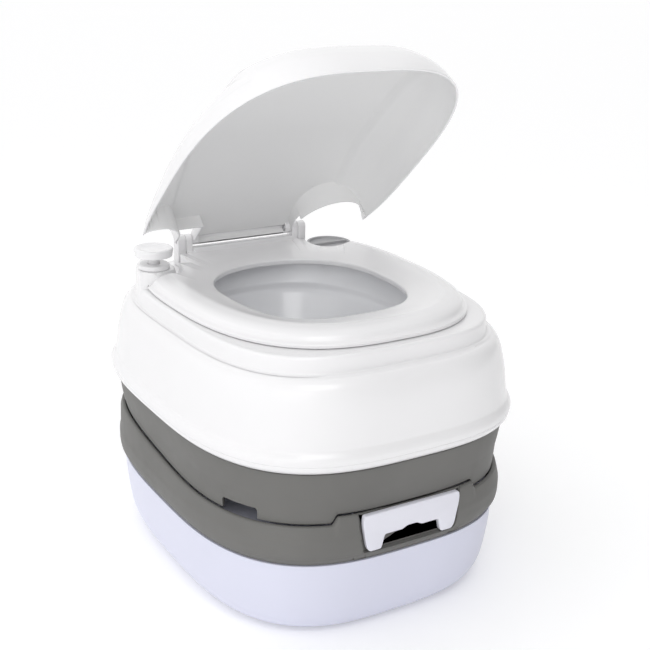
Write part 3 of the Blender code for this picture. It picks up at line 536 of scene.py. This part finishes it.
# ---- the flush tank half ----
def make_skirt():
    edge = rounded([(-0.0125, 0.0040, 0), (-0.0115, 0.0, 0.0006), (-0.0086, 0.0, 0.0012),
                    (-0.0080, 0.0060, 0)])
    rings = [body_plan(offset, below_seam(-GAP - rise), SEAM_TURNS) for offset, rise in edge]
    outside = spline([(-0.0066, 0.1580), (-0.0052, 0.1660), (-0.0036, 0.1780), (-0.0028, 0.1872)], 4)
    rings += [body_plan(*step, turns=SEAM_TURNS) for step in outside]
    rings += [body_plan(*step, turns=SEAM_TURNS)
              for step in ((-0.0062, 0.1885), (-0.0062, 0.2000), (-0.0088, 0.2000), (-0.0088, 0.1650))]
    skirt = skin("flush_tank_skirt", rings, "warm_grey")
    for side in (-1, 1):
        notch = block("notch", (-0.021, -0.030, 0.100), (0.021, 0.030, 0.1435), bevel=0.003)
        turned = Matrix.Translation((side * 0.1480, -0.1370,
                                     0.0)) @ Matrix.Rotation(side * math.radians(56), 4, "Z")
        notch.data.transform(turned)
        cut(skirt, notch)
    cut(skirt, rear_window("skirt_window", 0.120, 0.1552))
    soften(skirt, 0.0005)
    finish_piece(skirt, "flush_unit", "warm_grey", "tank_skirt")


def make_flush_tank_floor():
    wall = rounded([(-0.0180, FLOOR, 0.0015), (-0.0128, FLOOR + 0.005, 0.003), (-0.0128, 0.2005, 0.001),
                    (-0.0020, 0.2010, 0.0005), (-0.0020, 0.2035, 0.0005), (-0.0153, 0.2035, 0.001),
                    (-0.0153, FLOOR + 0.0075, 0.003), (-0.0195, FLOOR + WALL, 0.0015)], 3, True)
    rings = [plan(0.0600, 0.0600, 2.0, FLOOR, OUTLET)] + [body_plan(*step) for step in wall]
    rings += [plan(0.0600, 0.0600, 2.0, FLOOR + WALL, OUTLET)]
    finish_piece(skin("flush_tank_pan", rings, "warm_grey"), "flush_unit", "warm_grey", "flush_tank_floor")


def platform_rise(x, y, centre, radius, top, slope):
    """Height that a raised rear corner adds to the deck, with a sloped edge."""
    side = math.copysign(1.0, centre[0])
    to_post = np.hypot(x - centre[0], y - centre[1]) - radius
    corner = np.maximum(-(side * (x - centre[0]) + radius * 0.35), centre[1] - y)
    distance = soft_min(to_post, corner, 0.006)
    return (top - DECK) * smooth_step(0.5 - distance / slope)


def deck_height(x, y):
    rise = platform_rise(x, y, PUMP, 0.0245, PUMP_PLATFORM, 0.0045)
    return DECK + rise + platform_rise(x, y, FILLER, 0.0285, FILLER_PLATFORM, 0.0040)


def make_shell():
    """White shell: lower bead with a fine groove, leaning side, rounded shoulder, raised deck and platforms."""
    bead = rounded([(-0.0040, RIM_BOTTOM + 0.0020, 0), (-0.0034, RIM_BOTTOM - 0.0002, 0.0006),
                    (-0.0006, RIM_BOTTOM - 0.0002, 0.0010), (0.0030, 0.1930, 0.0022),
                    (0.0040, 0.1974, 0.0010),
                    (0.0036, 0.1981, 0.0003), (0.0044, 0.1988, 0.0004), (0.0049, 0.2030, 0.0020),
                    (0.0034, 0.2072, 0.0030), (0.0002, 0.2110, 0.0050), (-0.0010, 0.2200, 0)])
    side = spline([(-0.0010, 0.2200), (-0.0032, 0.2400), (-0.0062, 0.2560), (-0.0092, 0.2668),
                   (-0.0128, 0.2738),
                   (-0.0172, 0.2776), (-0.0215, 0.2788)], 6)
    rings = [body_plan(*step) for step in bead] + [body_plan(*step) for step in side[1:]]
    foot = rounded([(0.0040, SHOULDER, 0), (0.0004, SHOULDER + 0.0003, 0.0022), (-0.0008, 0.2850, 0)])
    rings += [deck_plan(*step) for step in foot]
    edge = rounded([(-0.0008, 0.0085, 0), (-0.0014, 0.0, 0.0040), (-0.0100, 0.0, 0)], 8)
    hole = plan(0.1270, 0.1490, 2.3, DECK, BOWL_CENTRE)
    for offset, drop in edge:
        ring = deck_plan(offset, 0.0)
        inner = deck_plan(min(offset, -0.0047), 0.0)
        ring[:, 2] = deck_height(inner[:, 0], inner[:, 1]) - drop
        rings.append(ring)
    start = deck_plan(-0.0100, 0.0)
    for share in np.linspace(0.0, 1.0, 30)[1:]:
        ring = start * (1 - share) + hole * share
        ring[:, 2] = deck_height(ring[:, 0], ring[:, 1])
        rings.append(ring)
    under = hole.copy()
    under[:, 2] = np.minimum(under[:, 2], DECK) - WALL
    rings += [under, deck_plan(-0.0060, DECK - WALL), deck_plan(-0.0030, SHOULDER - WALL)]
    rings += [body_plan(*step) for step in ((-0.0175, 0.2722), (-0.0120, 0.2640), (-0.0070, 0.2440),
                                            (-0.0026, 0.2080), (0.0002, 0.2000))]
    shell = skin("flush_tank_cover", rings, "gloss_white")
    cut(shell, rod("pump_hole", (*PUMP, 0.280), (*PUMP, 0.320), 0.0140),
        rod("filler_hole", (*FILLER, 0.280), (*FILLER, 0.320), 0.0235))
    finish_piece(shell, "flush_unit", "gloss_white", "flush_tank_shell")


def make_bowl():
    """Bowl with a rolled lip, a step inside and a funnel to the outlet."""
    def oval(half_x, half_y, z, power=2.3, y=BOWL_CENTRE[1]):
        return (half_x, half_y, power, z, y)

    upper = spline([oval(0.1262, 0.1482, 0.2968), oval(0.1205, 0.1425, 0.2978), oval(0.1180, 0.1400, 0.2962),
                    oval(0.1145, 0.1362, 0.2840), oval(0.1112, 0.1330, 0.2712)], 5)
    step = spline([oval(0.1112, 0.1330, 0.2712), oval(0.1092, 0.1310, 0.2676),
                   oval(0.1030, 0.1245, 0.2640, 2.3, -0.005),
                   oval(0.1004, 0.1220, 0.2600, 2.3, -0.006)], 5)
    funnel = spline([oval(0.1004, 0.1220, 0.2600, 2.3, -0.006), oval(0.0950, 0.1160, 0.2420, 2.25, -0.008),
                     oval(0.0870, 0.1060, 0.2190, 2.2, -0.011), oval(0.0690, 0.0800, 0.1850, 2.1, -0.017),
                     oval(0.0520, 0.0570, 0.1690, 2.0, -0.0195), oval(0.0440, 0.0440, 0.1560, 2.0, -0.020),
                     oval(0.0425, 0.0425, 0.1352, 2.0, -0.020)], 6)
    outside = [oval(0.0455, 0.0455, 0.1352, 2.0, -0.020), oval(0.0475, 0.0475, 0.1640, 2.0, -0.020),
               oval(0.0722, 0.0832, 0.1825, 2.1, -0.017), oval(0.0914, 0.1114, 0.2190, 2.2, -0.011),
               oval(0.1042, 0.1257, 0.2585, 2.3, -0.006), oval(0.1145, 0.1365, 0.2685),
               oval(0.1205, 0.1425, 0.2920), oval(0.1262, 0.1482, 0.2925)]
    rings = [plan(hx, hy, power, z, (0.0, y)) for hx, hy, power, z,
             y in upper + step[1:] + funnel[1:] + outside]
    bowl = skin("bowl_liner", rings, "bowl_white")
    tip, tail = NOZZLE
    along = (tail - tip) * 0.5
    cut(bowl, rod("nozzle_hole", tip - along, tail + along, 0.0075))
    finish_piece(bowl, "flush_unit", "gloss_white", "bowl")
    nozzle = rod("rinse_nozzle", tip, tail, 0.0070, "clear_tube", edge=0.0010)
    cut(nozzle, rod("nozzle_bore", tip * 1.2 - tail * 0.2, tip * 0.1 + tail * 0.9, 0.0038))
    finish_piece(nozzle, "flush_unit", "clear_tube", "flush_nozzle")


def make_pump():
    """Dished push knob with a rolled edge, its stem, the collar below and the parts inside."""
    collar = rounded([(0.0070, 0.3129, 0), (0.0175, 0.3129, 0.0003), (0.0175, 0.3168, 0.0010),
                      (0.0158, 0.3180, 0.0010),
                      (0.0070, 0.3180, 0.0005)], 5, True)
    finish_piece(lathe("pump_guide", collar, PUMP, "gloss_white"), "flush_unit", "gloss_white", "pump_collar")
    knob = rounded([(0.0001, 0.3314, 0), (0.0186, 0.3314, 0.0010), (0.0191, 0.3268, 0.0003),
                    (0.0205, 0.3268, 0.0005),
                    (0.0216, 0.3345, 0.0015), (0.0206, 0.3361, 0.0012), (0.0180, 0.3359, 0.0030),
                    (0.0120, 0.3338, 0.0050), (0.0001, 0.3330, 0)], 6)
    finish_piece(lathe("pump_push_knob", knob, PUMP, "gloss_white", False), "pump", "gloss_white",
                 "pump_knob")
    stem = rounded([(0.0001, 0.2580, 0), (0.0040, 0.2580, 0.0004), (0.0040, 0.2960, 0.0010),
                    (0.0065, 0.2990, 0.0010),
                    (0.0065, 0.3310, 0), (0.0001, 0.3310, 0)])
    finish_piece(lathe("pump_stem", stem, PUMP, "gloss_white", False, 48), "pump", "gloss_white", "pump_rod")
    tube = [(0.0110, 0.1900), (0.0135, 0.1900), (0.0135, 0.3123), (0.0110, 0.3123)]
    finish_piece(lathe("pump_barrel", tube, PUMP, "tank_white", True, 64), "flush_unit", "tank_white",
                 "pump_cylinder")
    piston = rounded([(0.0001, 0.2480, 0), (0.0104, 0.2480, 0.0005), (0.0098, 0.2528, 0.0010),
                      (0.0104, 0.2576, 0.0005),
                      (0.0001, 0.2576, 0)])
    finish_piece(lathe("pump_plunger", piston, PUMP, "black_rubber", False, 64), "pump", "black_rubber",
                 "pump_piston")


def make_filler():
    """Filler neck and its cap, with a recessed top, a grip bar and a ribbed edge."""
    neck = rounded([(0.0190, 0.2600, 0), (0.0225, 0.2600, 0), (0.0225, 0.2994, 0), (0.0250, 0.2994, 0.0003),
                    (0.0250, 0.3008, 0.0004), (0.0190, 0.3008, 0.0004)], 4, True)
    finish_piece(lathe("filler_pipe", neck, FILLER, "gloss_white"), "flush_unit", "gloss_white",
                 "filler_neck")
    profile = rounded([(0.0001, 0.2900, 0), (0.0160, 0.2900, 0.0010), (0.0178, 0.3025, 0.0004),
                       (0.0268, 0.3025, 0.0008),
                       (0.0275, 0.3050, 0.0010), (0.0272, 0.3090, 0.0014), (0.0240, 0.3090, 0.0008),
                       (0.0232, 0.3060, 0.0008), (0.0001, 0.3056, 0)])
    cap = lathe("filler_turn_cap", profile, FILLER, "cap_grey", False)
    join(cap, block("grip_bar", (FILLER[0] - 0.0238, FILLER[1] - 0.0026, 0.3045),
                    (FILLER[0] + 0.0238, FILLER[1] + 0.0026, 0.3088), bevel=0.0010))
    for i in range(36):
        angle = 2 * math.pi * i / 36
        place = (FILLER[0] + 0.0281 * math.cos(angle), FILLER[1] + 0.0281 * math.sin(angle))
        cut(cap, rod("rib_gap", (*place, 0.3030), (*place, 0.3078), 0.0010, points=10))
    finish_piece(cap, "filler_cap", "cap_grey", "filler_cap")


# ---- seat, hinge and lid ----
def rear_notch(name, centre, radius, side_x, shelf=0.0, low=0.28, high=0.42):
    """Upright cutter: a round notch that stays open to the rear and to the outer side."""
    side = math.copysign(1.0, centre[0])
    outline = [(side_x, 0.30)]
    if shelf:
        start = 180.0 if side > 0 else 0.0
        outline += [(side_x, centre[1] + shelf), (centre[0] - side * radius, centre[1] + shelf)]
    else:
        start = math.degrees(math.acos((side_x - centre[0]) / radius))
    outline += arc(centre, radius, start, 360.0 if side > 0 else -180.0, 72)
    outline += [(centre[0] + side * 0.10, centre[1]), (centre[0] + side * 0.10, 0.30)]
    return prism(name, outline, "Z", low, high)


def seat_plan(offset, z):
    return plan(SEAT_HALF[0] + offset, SEAT_HALF[1] + offset, 2.7, z, (0.0, SEAT_CENTRE_Y), 0.032)


def seat_opening(offset, z):
    """Outline of the opening, longer to the front than to the rear."""
    half_x, centre = OPENING_HALF_X + offset, (0.0, OPENING_CENTRE_Y)
    front = plan(half_x, OPENING_FRONT + offset, 2.9, z, centre, 0.01)
    rear = plan(half_x, OPENING_REAR + offset, 2.15, z, centre, 0.01)
    return np.where(front[:, 1:2] < OPENING_CENTRE_Y, front, rear)


def make_seat():
    """Closed ring with its crest near the outer edge and a dished slope down to the opening."""
    outer = rounded([(-0.0280, 0.2973, 0), (-0.0012, 0.2973, 0.0010), (-0.0008, 0.3010, 0.0012),
                     (-0.0052, 0.3034, 0.0020), (-0.0072, 0.3080, 0.0040), (-0.0135, 0.3122, 0.0060),
                     (-0.0235, SEAT_TOP, 0.0060), (-0.0300, 0.3132, 0)], 5)
    inner = rounded([(0.0170, 0.3083, 0), (0.0045, 0.3056, 0.0030), (0.0006, 0.3046, 0.0012),
                     (0.0000, 0.3030, 0.0010), (0.0010, SEAT_BOTTOM, 0.0010), (0.0050, SEAT_BOTTOM, 0)], 6)
    rings = [seat_plan(*step) for step in outer] + [seat_opening(*step) for step in inner]
    seat = skin("seat_form", rings, "gloss_white")
    cut(seat, block("seat_rear", (-0.30, SEAT_REAR, 0.28), (0.30, 0.30, 0.34)),
        rear_notch("seat_pump_notch", PUMP, 0.0325, -0.0850, 0.0070),
        rear_notch("seat_filler_notch", FILLER, 0.0300, 0.0850))
    join(seat, block("seat_hinge_bar", (-0.0660, SEAT_REAR - 0.0115, 0.3090),
                     (0.0660, SEAT_REAR + 0.0005, HINGE_Z - 0.0088), bevel=0.0015))
    for side, lug_x in zip((1, -1), LUG_X):
        near, far = lug_x + side * 0.0055, lug_x + side * 0.0135
        join(seat, hinge_arm("seat_arm", min(near, far), max(near, far), LUG_RADIUS - 0.0004, 0.3080))
        cut(seat,
            block("lug_space", (lug_x - 0.0055, HINGE_Y - 0.0120, 0.280), (lug_x + 0.0055, 0.220, 0.345)))
    cut(seat, pin_bore())
    soften(seat, 0.0006)
    finish_piece(seat, "seat", "gloss_white", "seat_ring")


def hinge_arm(name, low_x, high_x, radius, foot_z, finish=None):
    outline = [(HINGE_Y + radius, foot_z)] + arc((HINGE_Y, HINGE_Z), radius, 0, 180, 32)
    outline += [(HINGE_Y - radius, foot_z)]
    return prism(name, outline, "X", low_x, high_x, finish)


def pin_bore():
    return rod("pin_bore", (-0.20, HINGE_Y, HINGE_Z), (0.20, HINGE_Y, HINGE_Z), PIN_RADIUS + 0.0004,
               points=48)


def make_hinges():
    for word, side, lug_x in zip(("left", "right"), (1, -1), LUG_X):
        lug = hinge_arm(f"hinge_post_{word}", lug_x - 0.0050, lug_x + 0.0050, LUG_RADIUS, DECK + GAP,
                        "gloss_white")
        cut(lug, rod("lug_bore", (lug_x - 0.01, HINGE_Y, HINGE_Z), (lug_x + 0.01, HINGE_Y, HINGE_Z),
                     PIN_RADIUS + 0.0003, points=48))
        soften(lug, 0.0008, 3)
        finish_piece(lug, "flush_unit", "gloss_white", f"hinge_lug_{word}")
        pin = rod(f"hinge_pivot_{word}", (lug_x - side * 0.0055, HINGE_Y, HINGE_Z),
                  (lug_x + side * 0.0225, HINGE_Y, HINGE_Z), PIN_RADIUS, "steel", 48, 0.0005)
        finish_piece(pin, "flush_unit", "steel", f"hinge_pin_{word}")


def lid_ring(offset, height, inset, share=1.0):
    """One ring of the lid's skin in the closed position, lower to the rear, with a raised middle panel."""
    ring = plan(LID_HALF[0] + offset - inset, LID_HALF[1] + offset - inset, 3.0 - 5.0 * offset, 0.0,
                (LID_CENTRE_X, 0.0), 0.020) * (share, share, 1.0)
    full = min(1.0, height / 0.030)
    lowering = 1.0 - 0.50 * smooth_step(ring[:, 1] / 0.160)
    drop = CREASE_DROP * smooth_step((np.abs(ring[:, 0] - LID_CENTRE_X) - LID_CREASE) / CREASE_WIDTH) * full
    ring[:, 2] = LID_RIM + (height - drop) * lowering - inset * full
    return ring


def lid_skin(inset):
    steps = spline([(0.0, 0.0), (-0.0012, 0.0060), (-0.0040, 0.0160), (-0.0085, 0.0265), (-0.0140, 0.0350),
                    (-0.0200, 0.0430), (-0.0280, 0.0490), (-0.0380, 0.0535), (-0.0500, 0.0565),
                    (-0.0720, 0.0595),
                    (-0.1000, 0.0615)], 5)
    rings = [lid_ring(offset, height, inset) for offset, height in steps]
    offset, height = steps[-1]
    return rings + [lid_ring(offset, height, inset, share) for share in (0.85, 0.7, 0.55, 0.4, 0.25, 0.12,
                                                                         0.04)]


def make_lid():
    """Thin creased shell with a rolled rim, shaped shut and then turned open about the hinge."""
    lid = skin("lid_shell", lid_skin(0.0), "gloss_white", False)
    hollow = skin("hollow", [lid_ring(0.0, 0.0, LID_WALL) - (0, 0, 0.010)] + lid_skin(LID_WALL), None, False)
    back = HINGE_Y + 0.0060
    sides = (LUG_X[0] + 0.0140, LUG_X[1] - 0.0140)
    for item, grow in ((lid, 0.0), (hollow, LID_WALL)):
        cut(item, block("rear", (-0.30, back - grow, 0.25), (0.30, 0.30, 0.45)),
            rear_notch("pump_notch", PUMP, PUMP_NOTCH + grow, sides[0] + grow, 0.0115 - grow),
            rear_notch("filler_notch", LID_FILLER_NOTCH, FILLER_NOTCH + grow, sides[1] - grow))
    room = block("seat_room", (0.030, 0.050, 0.28), (0.20, 0.20, SEAT_TOP + 0.0015))
    room_steps = ((-0.0055, 0.27), (-0.0055, 0.3088), (-0.0080, 0.3092), (-0.0080, 0.34))
    combine(room, "INTERSECT", skin("room_plan", [seat_plan(*step) for step in room_steps], None, False))
    cut(lid, hollow, room, block("tongue", (-0.30, 0.1180, 0.25), (0.30, 0.30, HINGE_Z - 0.0050)))
    for side, lug_x in zip((1, -1), LUG_X):
        near, far = lug_x + side * 0.0140, lug_x + side * 0.0220
        outline = arc((HINGE_Y, HINGE_Z), 0.0060, 0, -180, 32)
        outline += [(HINGE_Y - 0.0060, HINGE_Z + 0.0035), (HINGE_Y + 0.0050, HINGE_Z + 0.0035)]
        join(lid, prism("lid_arm", outline, "X", min(near, far), max(near, far)))
    cut(lid, pin_bore())
    soften(lid, 0.0008)
    hinge = Matrix.Translation((0.0, HINGE_Y, HINGE_Z))
    lid.data.transform(hinge @ Matrix.Rotation(-LID_OPEN, 4, "X") @ hinge.inverted())
    finish_piece(lid, "lid", "gloss_white", "lid")


def make_latch():
    x, axis_y = LATCH_X, LATCH_FACE + 0.0050
    bracket = block("latch_mount", (x - 0.020, LATCH_FACE, 0.1640), (x + 0.020, LATCH_FACE + 0.0085, 0.1820),
                    "warm_grey", 0.0010)
    cut(bracket, block("latch_slot", (x - 0.0125, LATCH_FACE + 0.0012, 0.150), (x + 0.0125, 0.240, 0.190)),
        rod("latch_bore", (x - 0.03, axis_y, LATCH_Z), (x + 0.03, axis_y, LATCH_Z), 0.0019, points=32))
    soften(bracket, 0.0005)
    finish_piece(bracket, "flush_unit", "warm_grey", "latch_bracket")
    latch = block("latch_arm", (x - 0.0120, axis_y - 0.0012, 0.1330), (x + 0.0120, axis_y + 0.0020, 0.1755),
                  "gloss_white", 0.0009)
    join(latch,
         rod("latch_barrel", (x - 0.0120, axis_y, LATCH_Z), (x + 0.0120, axis_y, LATCH_Z), 0.0031,
             points=48))
    for i in range(3):
        z = 0.1370 + 0.0035 * i
        join(latch,
             rod("latch_rib", (x - 0.0090, axis_y + 0.0020, z), (x + 0.0090, axis_y + 0.0020, z), 0.0006,
                        points=16))
    cut(latch,
        rod("barrel_bore", (x - 0.03, axis_y, LATCH_Z), (x + 0.03, axis_y, LATCH_Z), 0.0019, points=32))
    finish_piece(latch, "latch", "gloss_white", "rear_latch")


def refinish_cad_nodes():
    """The CAD nodes that stay get the same procedural materials."""
    slots = {"black_rubber": ("bowl_seal", "filler_seal", "seat_buffer_1", "seat_buffer_2", "seat_buffer_3",
                              "seat_buffer_4"),
             "steel": ("pump_spring", "vent_spring", "latch_pin"),
             "clear_tube": ("flush_tube",),
             "cap_grey": ("pump_foot_valve",)}
    for finish, names in slots.items():
        for name in names:
            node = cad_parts[name]
            node.data.materials.clear()
            node.data.materials.append(FINISH[finish])


# ---- stage ----
def make_camera():
    yaw, pitch, roll = math.radians(-31.55), math.radians(19.13), math.radians(1.50)
    target, distance = Vector((-0.0107, -0.0526, 0.2762)), 1.2228
    back = Vector((math.sin(yaw) * math.cos(pitch), -math.cos(yaw) * math.cos(pitch), math.sin(pitch)))
    right = Vector((math.cos(yaw), math.sin(yaw), 0.0))
    up = right.cross(-back)
    across = math.cos(roll) * right + math.sin(roll) * up
    upward = -math.sin(roll) * right + math.cos(roll) * up
    data = bpy.data.cameras.new("camera")
    data.sensor_width = 36.0
    data.lens = 63.97
    data.clip_start = 0.05
    camera = bpy.data.objects.new("camera", data)
    bpy.context.scene.collection.objects.link(camera)
    turned = Matrix((across, upward, back)).transposed().to_4x4()
    camera.matrix_world = Matrix.Translation(target + back * distance + across * 0.0029) @ turned
    bpy.context.scene.camera = camera


def area_light(name, place, target, size, power, colour=(1.0, 1.0, 1.0)):
    data = bpy.data.lights.new(name, "AREA")
    data.shape = "RECTANGLE"
    data.size, data.size_y = size
    data.energy = power
    data.color = colour
    light = bpy.data.objects.new(name, data)
    bpy.context.scene.collection.objects.link(light)
    light.location = place
    light.rotation_euler = (Vector(target) - Vector(place)).to_track_quat("-Z", "Y").to_euler()


def make_world():
    """White studio all round, which lights the object less from its right than from its left."""
    world = bpy.data.worlds.new("studio")
    world.use_nodes = True
    nodes, links = world.node_tree.nodes, world.node_tree.links
    place = nodes.new("ShaderNodeTexCoord")
    facing = nodes.new("ShaderNodeVectorMath")
    facing.operation = "DOT_PRODUCT"
    facing.inputs[1].default_value = Vector((0.78, -0.60, 0.15)).normalized()
    span = nodes.new("ShaderNodeMapRange")
    span.interpolation_type = "SMOOTHSTEP"
    span.inputs["From Min"].default_value = 0.30
    span.inputs["From Max"].default_value = 0.90
    span.inputs["To Min"].default_value = WORLD_BRIGHT
    span.inputs["To Max"].default_value = WORLD_DIM
    links.new(place.outputs["Generated"], facing.inputs[0])
    links.new(facing.outputs["Value"], span.inputs["Value"])
    seen = nodes.new("ShaderNodeLightPath")
    brighter = nodes.new("ShaderNodeMath")
    brighter.operation = "MAXIMUM"
    links.new(span.outputs["Result"], brighter.inputs[0])
    links.new(seen.outputs["Is Camera Ray"], brighter.inputs[1])
    links.new(brighter.outputs["Value"], nodes["Background"].inputs["Strength"])
    nodes["Background"].inputs["Color"].default_value = (1.0, 1.0, 1.0, 1.0)
    bpy.context.scene.world = world


def make_stage():
    bm = bmesh.new()
    bmesh.ops.create_grid(bm, x_segments=1, y_segments=1, size=40.0)
    floor = make_piece("studio_floor", bm)
    floor.location.z = -0.0005
    paper = plastic("studio_paper", (0.93, 0.93, 0.935), 0.9, 0.02, 0.01, 0.005)
    paper.node_tree.nodes["Principled BSDF"].inputs["Emission Color"].default_value = (1.0, 1.0, 1.0, 1.0)
    paper.node_tree.nodes["Principled BSDF"].inputs["Emission Strength"].default_value = 0.15
    floor.data.materials.append(paper)
    make_world()
    bpy.context.scene.view_settings.view_transform = "Standard"
    area_light("key", (-1.5, -1.8, 1.10), (0, 0, 0.3), (1.4, 1.0), KEY_POWER)
    area_light("inner", (-0.25, -0.8, 0.95), (0, 0.08, 0.34), (0.5, 0.4), INNER_POWER)
    area_light("top", (0.0, 0.6, 2.4), (0, 0, 0.2), (2.0, 1.6), TOP_POWER)


make_camera()
make_stage()
make_waste_tank()
make_collar()
make_valve()
make_spout()
make_vent()
make_skirt()
make_flush_tank_floor()
make_shell()
make_bowl()
make_pump()
make_filler()
make_seat()
make_hinges()
make_lid()
make_latch()
refinish_cad_nodes()
